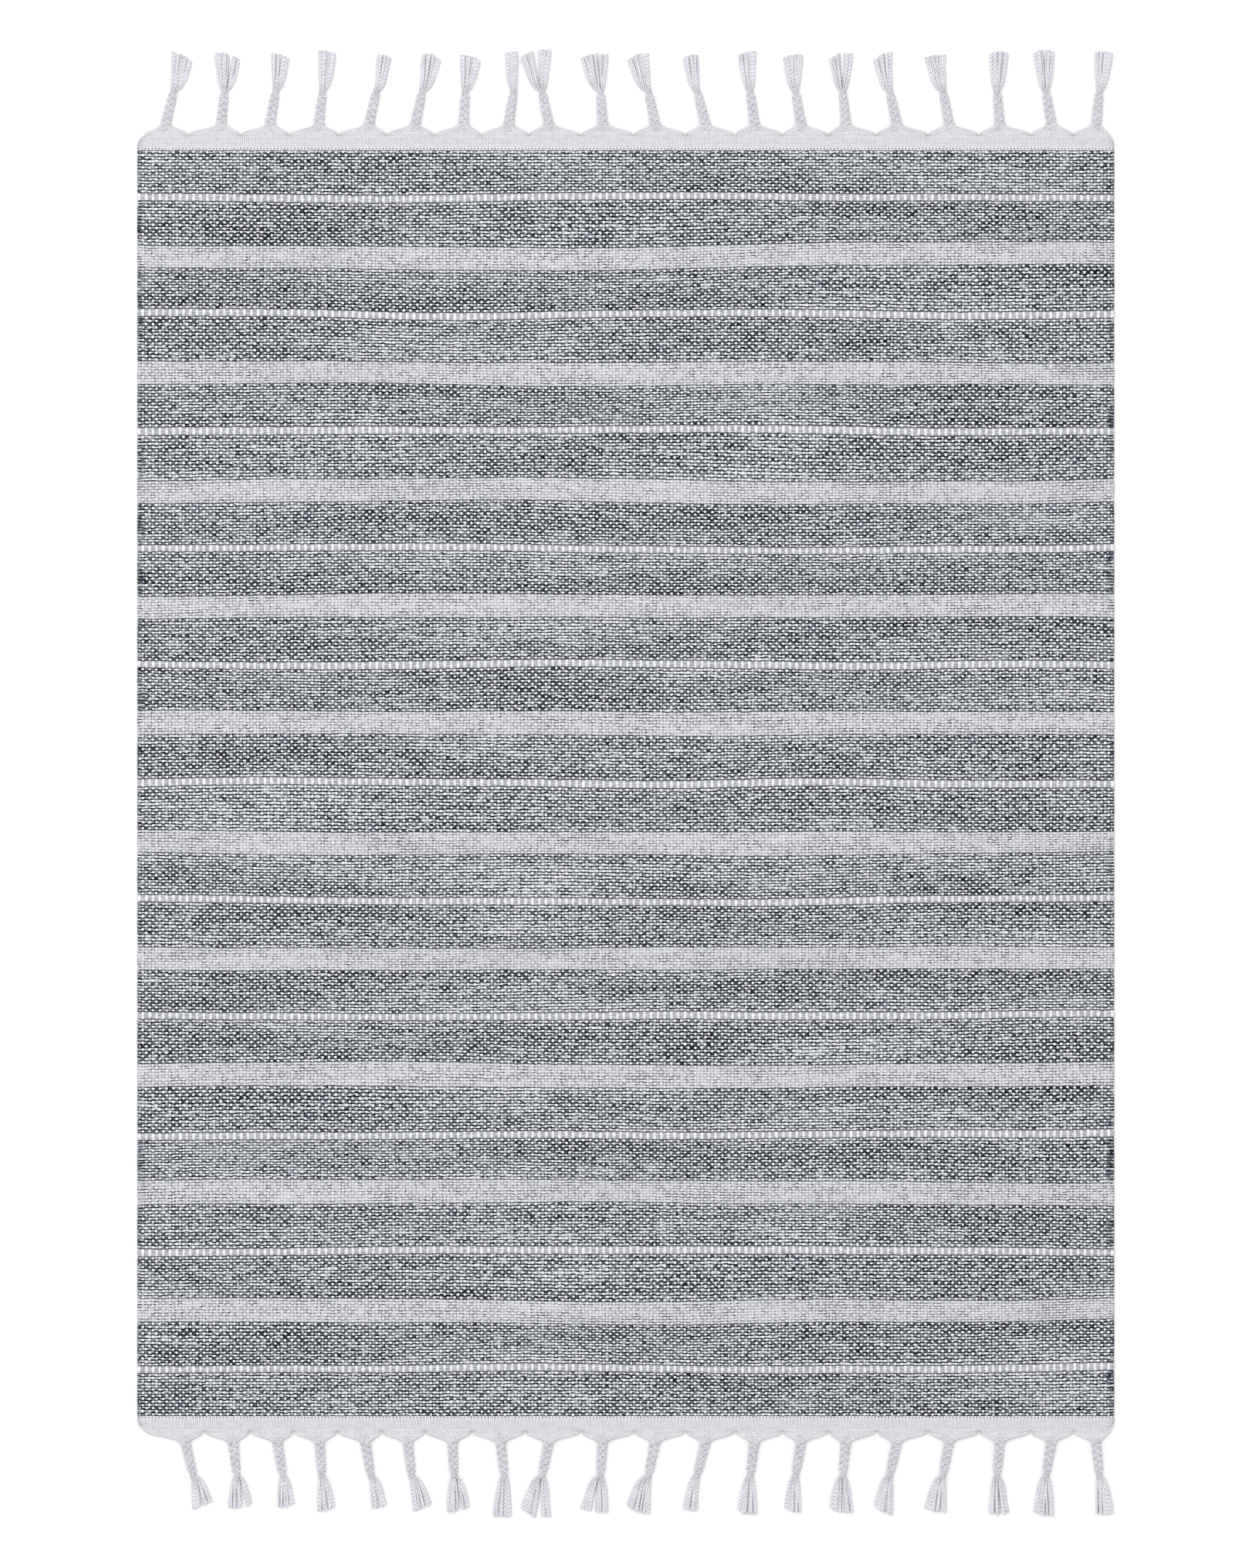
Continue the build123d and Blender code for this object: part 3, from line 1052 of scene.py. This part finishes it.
class RUG_OT_cord_stripes(bpy.types.Operator):
    """Weaves the thick cord stripes"""

    bl_idname = "rug.cord_stripes"
    bl_label = "Cord stripes"

    def execute(self, context):
        material = cord_material()
        meshes = [weave_field("cord", material, band) for band in bands("cord")]
        piece = join_meshes("woven_cord_stripes", meshes)
        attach(piece, RUG)
        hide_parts("cord_stripes")
        return {"FINISHED"}


class RUG_OT_selvedges(bpy.types.Operator):
    """Weaves the two outer edges, where the weft turns back"""

    bl_idname = "rug.selvedges"
    bl_label = "Selvedges"

    def execute(self, context):
        materials = {
            "heather": heather_material("selvedge_heather"),
            "pale": pale_material("selvedge_pale"),
            "cord": cord_material("selvedge_cord")}
        sides = (
            ("left", -HALF_WIDTH, -FIELD_HALF_WIDTH, -SELVEDGE_ENDS, -1.0),
            ("right", FIELD_HALF_WIDTH, HALF_WIDTH, INNER_ENDS, 1.0))
        for side, west, east, first_end, outward in sides:
            meshes = []
            for band in bands():
                meshes.append(weave(
                    "edge", materials[band[0]], west, east, SELVEDGE_ENDS, first_end, band,
                    outward=outward))
            piece = join_meshes(f"woven_{side}_selvedge", meshes)
            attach(piece, RUG)
            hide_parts(f"{side}_selvedge")
        return {"FINISHED"}


class RUG_OT_headings(bpy.types.Operator):
    """Weaves the dense white heading at each end"""

    bl_idname = "rug.headings"
    bl_label = "Headings"

    def execute(self, context):
        material = heading_material()
        edges = (("top", FIELD_EDGE, HEADING_EDGE), ("bottom", -HEADING_EDGE, -FIELD_EDGE))
        for end, south, north in edges:
            band = ("heading", south, north, HEADING_PICKS, 0)
            mesh = weave("heading", material, -HALF_WIDTH, HALF_WIDTH, HEADING_ENDS, 0, band)
            piece = place_piece(f"woven_{end}_heading", mesh)
            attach(piece, RUG)
            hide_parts(f"{end}_heading")
        return {"FINISHED"}


class RUG_OT_fringe(bpy.types.Operator):
    """Gathers the warp ends, braids them, binds them and lets them hang loose"""

    bl_idname = "rug.fringe"
    bl_label = "Fringe"

    def execute(self, context):
        material = yarn_material()
        gathered = yarn_material("gathered_cotton", 0.35, shade(244, 244, 248))
        cloth = heading_material("gathered_cloth")
        tree = tree_of("plied_yarn", yarn_tree)
        random = np.random.default_rng(FRINGE_SEED)
        inner, outer = HEADING_EDGE - ARCH_LAP, HEADING_EDGE + ARCH_RISE
        for end in ENDS:
            names = [f"tassel_{end}_{number:02d}" for number in range(1, TASSELS_PER_END + 1)]
            plans = [tassel_plan(name) for name in names]
            feet = scallop_feet(plans)
            fan, meshes = [], []
            south, north, fall = inner, outer, ARCH_FALL
            if end == "bottom":
                south, north, fall = -outer, -inner, -ARCH_FALL
            band = ("heading", south, north, ARCH_PICKS, HEADING_PICKS)
            for plan, left, right in zip(plans, feet, feet[1:]):
                fan += gather_lines(plan, left, right, random)
                ends = 2 * round((right - left) / (2 * HALF_WIDTH) * HEADING_ENDS / 2)
                meshes.append(weave(
                    "arch", cloth, left, right, ends, 0, band, fall=fall, peak=plan["root"][0]))
            fan_data = curve_data("fan", fan)
            meshes.append(grow("fan", fan_data, tree, Sides=YARN_SIDES, Material=gathered))
            piece = join_meshes(f"yarn_{end}_gathers", meshes)
            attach(piece, RUG)
            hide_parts(f"{end}_gathers")
            for name, plan in zip(names, plans):
                data = curve_data(name, tassel_lines(plan, random))
                mesh = grow(name, data, tree, Sides=YARN_SIDES, Material=material)
                piece = place_piece("yarn_" + name, mesh)
                start = plan["root"] - np.array([0, plan["outward"] * BEND_BEHIND, 0])
                stop = plan["root"] + np.array([0, plan["outward"] * BEND_AHEAD, 0])
                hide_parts(name)
                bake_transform(piece)
        return {"FINISHED"}


class RUG_OT_declare_cloth(bpy.types.Operator):
    bl_idname = "rug.declare_cloth"
    bl_label = "Declare the cloth"

    def execute(self, context):
        return {"FINISHED"}


OPERATORS = (
    RUG_OT_stage, RUG_OT_heather_bands, RUG_OT_pale_stripes, RUG_OT_cord_stripes,
    RUG_OT_selvedges, RUG_OT_headings, RUG_OT_fringe, RUG_OT_declare_cloth)


class RUG_PT_panel(bpy.types.Panel):
    """Lists the rug's settings and the steps that make it"""

    bl_idname = "RUG_PT_panel"
    bl_label = "Flat-woven rug"
    bl_space_type = "VIEW_3D"
    bl_region_type = "UI"
    bl_category = "Rug"

    def draw(self, context):
        scene = context.scene
        for settings in (scene.rug_cloth, scene.rug_colours, scene.rug_fringe):
            box = self.layout.box()
            for name in settings.bl_rna.properties.keys():
                if name not in ("rna_type", "name"):
                    box.prop(settings, name)
        for operator in OPERATORS:
            self.layout.operator(operator.bl_idname)


SETTINGS = (
    ("rug_cloth", RugClothSettings),
    ("rug_colours", RugColourSettings),
    ("rug_fringe", RugFringeSettings),
)


def register():
    for name, group in SETTINGS:
        bpy.utils.register_class(group)
        setattr(bpy.types.Scene, name, bpy.props.PointerProperty(type=group))
    for made in (*OPERATORS, RUG_PT_panel):
        bpy.utils.register_class(made)


def unregister():
    for made in (RUG_PT_panel, *reversed(OPERATORS)):
        bpy.utils.unregister_class(made)
    for name, group in reversed(SETTINGS):
        delattr(bpy.types.Scene, name)
        bpy.utils.unregister_class(group)


def main():
    register()
    for operator in OPERATORS:
        area, name = operator.bl_idname.split(".")
        getattr(getattr(bpy.ops, area), name)()


if __name__ == "__main__":
    main()
